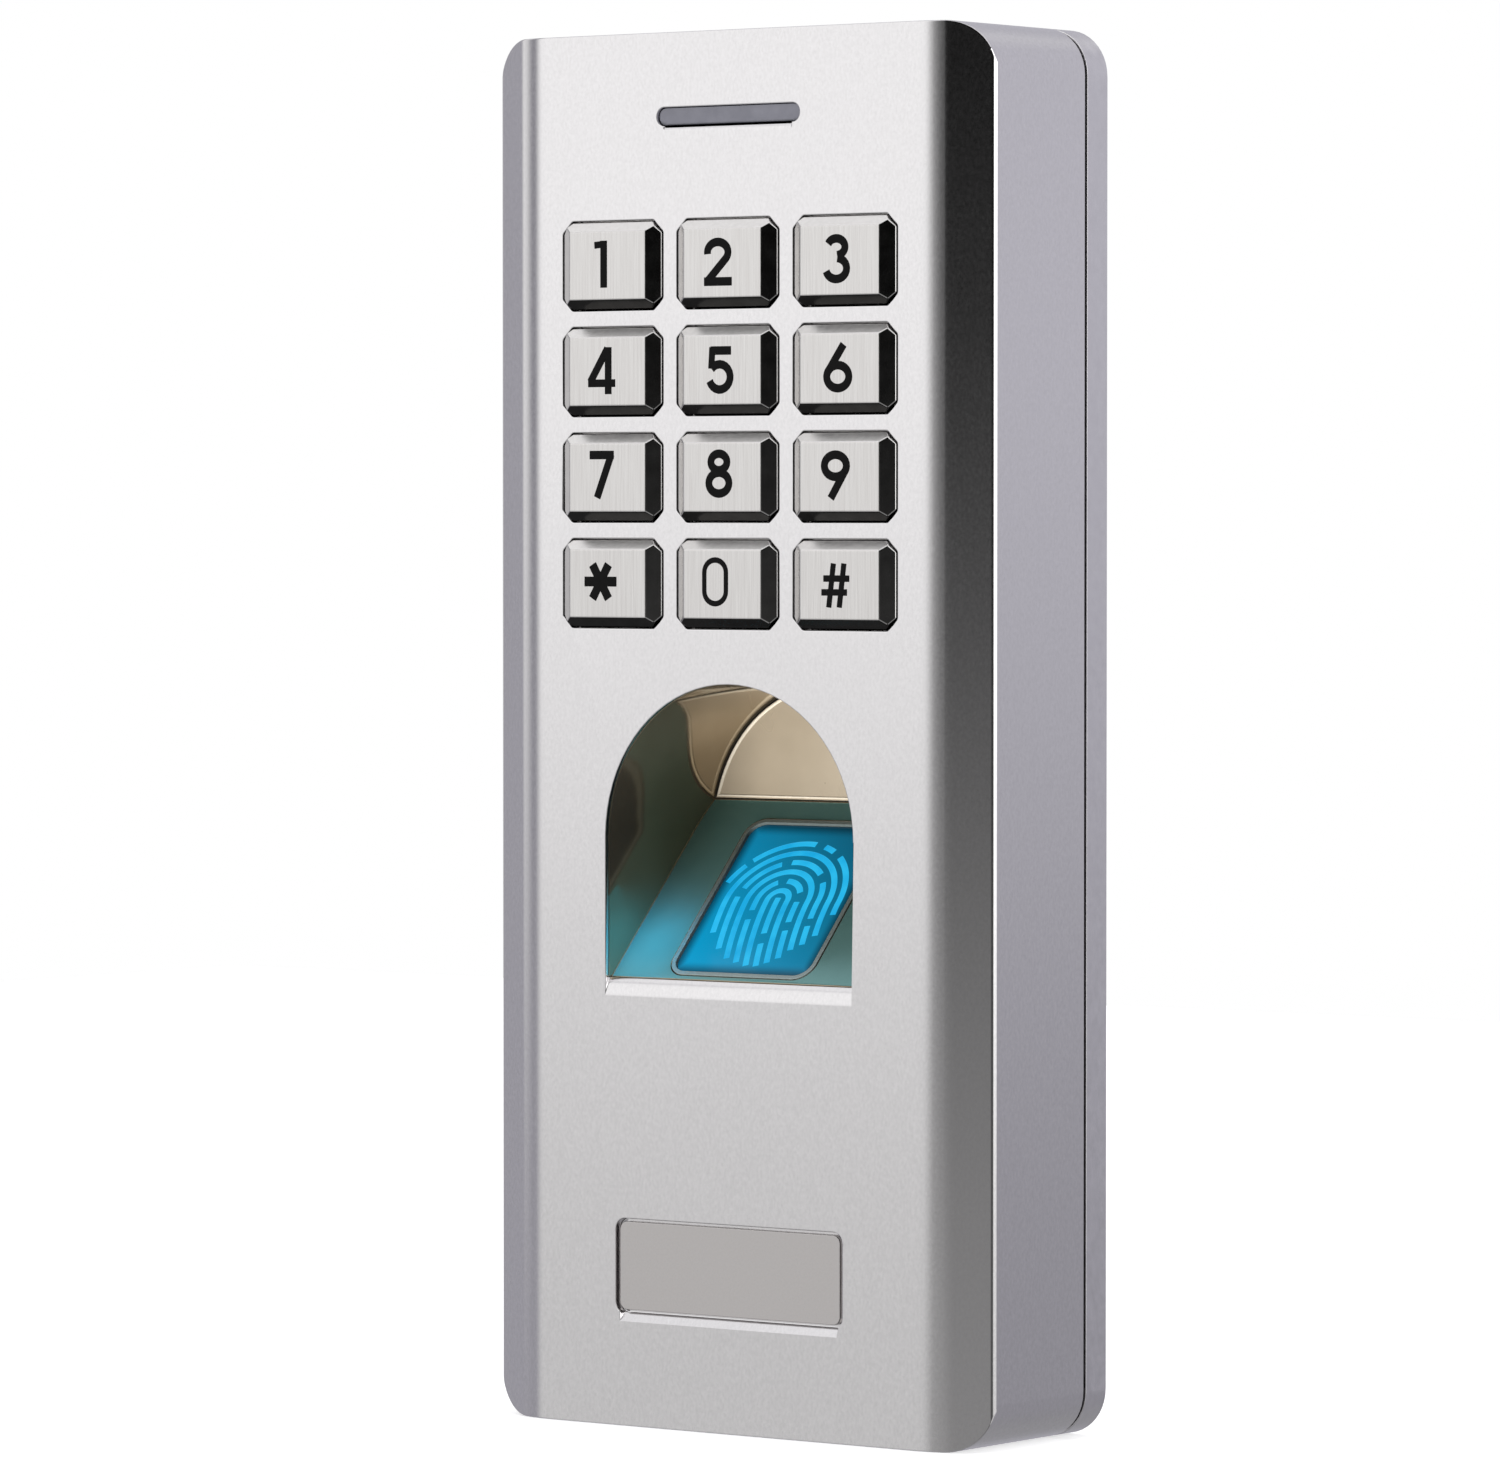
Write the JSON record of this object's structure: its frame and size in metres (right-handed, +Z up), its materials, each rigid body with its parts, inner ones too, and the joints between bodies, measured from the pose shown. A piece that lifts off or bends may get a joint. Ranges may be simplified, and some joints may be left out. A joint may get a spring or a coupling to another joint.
{
  "type": "fingerprint access terminal",
  "caption": "Upright wall-mounted metal access terminal with a keypad, an arched finger recess with a lit optical sensor, an indicator slot and a rear wall plate.",
  "frame": {"origin": "centre of the wall plate's rear face, on the wall", "axes": "+Z up, -Y out of the front, +X to the viewer's right of the front"},
  "size_m": [0.065, 0.0242, 0.148],
  "materials": {
    "shell_metal": "satin silver lacquer over a die-cast zinc alloy shell",
    "recess_gloss": "polished moulded grey plastic",
    "bezel_steel": "satin",
    "window_glass": "coated scanner glass lit blue from behind",
    "prism_glass": "clear optical",
    "inner_plastic": "matt moulded",
    "board_green": "solder mask over glass-fibre board",
    "led_white": "clear resin",
    "connector_ivory": "moulded",
    "ribbon_white": "film",
    "screw_steel": "zinc plated",
    "indicator_smoke": "smoked clear lens",
    "adhesive_foam": "foam tape",
    "badge_metal": "fine satin",
    "chip_black": "moulded epoxy",
    "relay_blue": "moulded",
    "capacitor_sleeve": "shrink sleeve",
    "terminal_green": "moulded",
    "sensor_ceramic": "coated ceramic disc",
    "gasket_rubber": "moulded silicone rubber",
    "cover_plastic": "fine textured moulded",
    "plate_metal": "satin silver powder coat",
    "key_metal": "fine satin face with polished bevels",
    "switch_plunger": "moulded"
  },
  "bodies": {
    "root": {"front_shell": "shell_metal", "finger_shroud": "recess_gloss", "sensor_bezel": "bezel_steel", "sensor_window": "window_glass", "sensor_prism": "prism_glass", "sensor_housing": "inner_plastic", "sensor_lens": "inner_plastic", "sensor_board": "board_green", "sensor_leds": "led_white", "ribbon_connectors": "connector_ivory", "sensor_ribbon": "ribbon_white", "sensor_screws": "screw_steel", "shroud_screws": "screw_steel", "indicator_lens": "indicator_smoke", "indicator_leds": "led_white", "badge_adhesive": "adhesive_foam", "badge_plate": "badge_metal", "keypad_frame": "inner_plastic", "main_board": "board_green", "switch_bodies": "chip_black", "board_chips": "chip_black", "relay": "relay_blue", "buzzer": "chip_black", "capacitors": "capacitor_sleeve", "terminal_header": "terminal_green", "tamper_sensor": "sensor_ceramic", "board_screws": "screw_steel", "housing_gasket": "gasket_rubber", "rear_cover": "cover_plastic", "cover_screws": "screw_steel", "cable_grommet": "gasket_rubber", "mounting_plate": "plate_metal", "security_screw": "screw_steel"},
    "key_1": {"keycap_1": "key_metal", "plunger_1": "switch_plunger"},
    "key_2": {"keycap_2": "key_metal", "plunger_2": "switch_plunger"},
    "key_3": {"keycap_3": "key_metal", "plunger_3": "switch_plunger"},
    "key_4": {"keycap_4": "key_metal", "plunger_4": "switch_plunger"},
    "key_5": {"keycap_5": "key_metal", "plunger_5": "switch_plunger"},
    "key_6": {"keycap_6": "key_metal", "plunger_6": "switch_plunger"},
    "key_7": {"keycap_7": "key_metal", "plunger_7": "switch_plunger"},
    "key_8": {"keycap_8": "key_metal", "plunger_8": "switch_plunger"},
    "key_9": {"keycap_9": "key_metal", "plunger_9": "switch_plunger"},
    "key_star": {"keycap_star": "key_metal", "plunger_star": "switch_plunger"},
    "key_0": {"keycap_0": "key_metal", "plunger_0": "switch_plunger"},
    "key_hash": {"keycap_hash": "key_metal", "plunger_hash": "switch_plunger"}
  },
  "joints": [
    {"name": "press_1", "type": "slide", "parent": "root", "child": "key_1", "axis": [0, 1, 0], "range_m": [0, 0.0007], "stiffness_N_per_m": 2600, "springref_m": -0.0003},
    {"name": "press_2", "type": "slide", "parent": "root", "child": "key_2", "axis": [0, 1, 0], "range_m": [0, 0.0007], "stiffness_N_per_m": 2600, "springref_m": -0.0003},
    {"name": "press_3", "type": "slide", "parent": "root", "child": "key_3", "axis": [0, 1, 0], "range_m": [0, 0.0007], "stiffness_N_per_m": 2600, "springref_m": -0.0003},
    {"name": "press_4", "type": "slide", "parent": "root", "child": "key_4", "axis": [0, 1, 0], "range_m": [0, 0.0007], "stiffness_N_per_m": 2600, "springref_m": -0.0003},
    {"name": "press_5", "type": "slide", "parent": "root", "child": "key_5", "axis": [0, 1, 0], "range_m": [0, 0.0007], "stiffness_N_per_m": 2600, "springref_m": -0.0003},
    {"name": "press_6", "type": "slide", "parent": "root", "child": "key_6", "axis": [0, 1, 0], "range_m": [0, 0.0007], "stiffness_N_per_m": 2600, "springref_m": -0.0003},
    {"name": "press_7", "type": "slide", "parent": "root", "child": "key_7", "axis": [0, 1, 0], "range_m": [0, 0.0007], "stiffness_N_per_m": 2600, "springref_m": -0.0003},
    {"name": "press_8", "type": "slide", "parent": "root", "child": "key_8", "axis": [0, 1, 0], "range_m": [0, 0.0007], "stiffness_N_per_m": 2600, "springref_m": -0.0003},
    {"name": "press_9", "type": "slide", "parent": "root", "child": "key_9", "axis": [0, 1, 0], "range_m": [0, 0.0007], "stiffness_N_per_m": 2600, "springref_m": -0.0003},
    {"name": "press_star", "type": "slide", "parent": "root", "child": "key_star", "axis": [0, 1, 0], "range_m": [0, 0.0007], "stiffness_N_per_m": 2600, "springref_m": -0.0003},
    {"name": "press_0", "type": "slide", "parent": "root", "child": "key_0", "axis": [0, 1, 0], "range_m": [0, 0.0007], "stiffness_N_per_m": 2600, "springref_m": -0.0003},
    {"name": "press_hash", "type": "slide", "parent": "root", "child": "key_hash", "axis": [0, 1, 0], "range_m": [0, 0.0007], "stiffness_N_per_m": 2600, "springref_m": -0.0003}
  ]
}
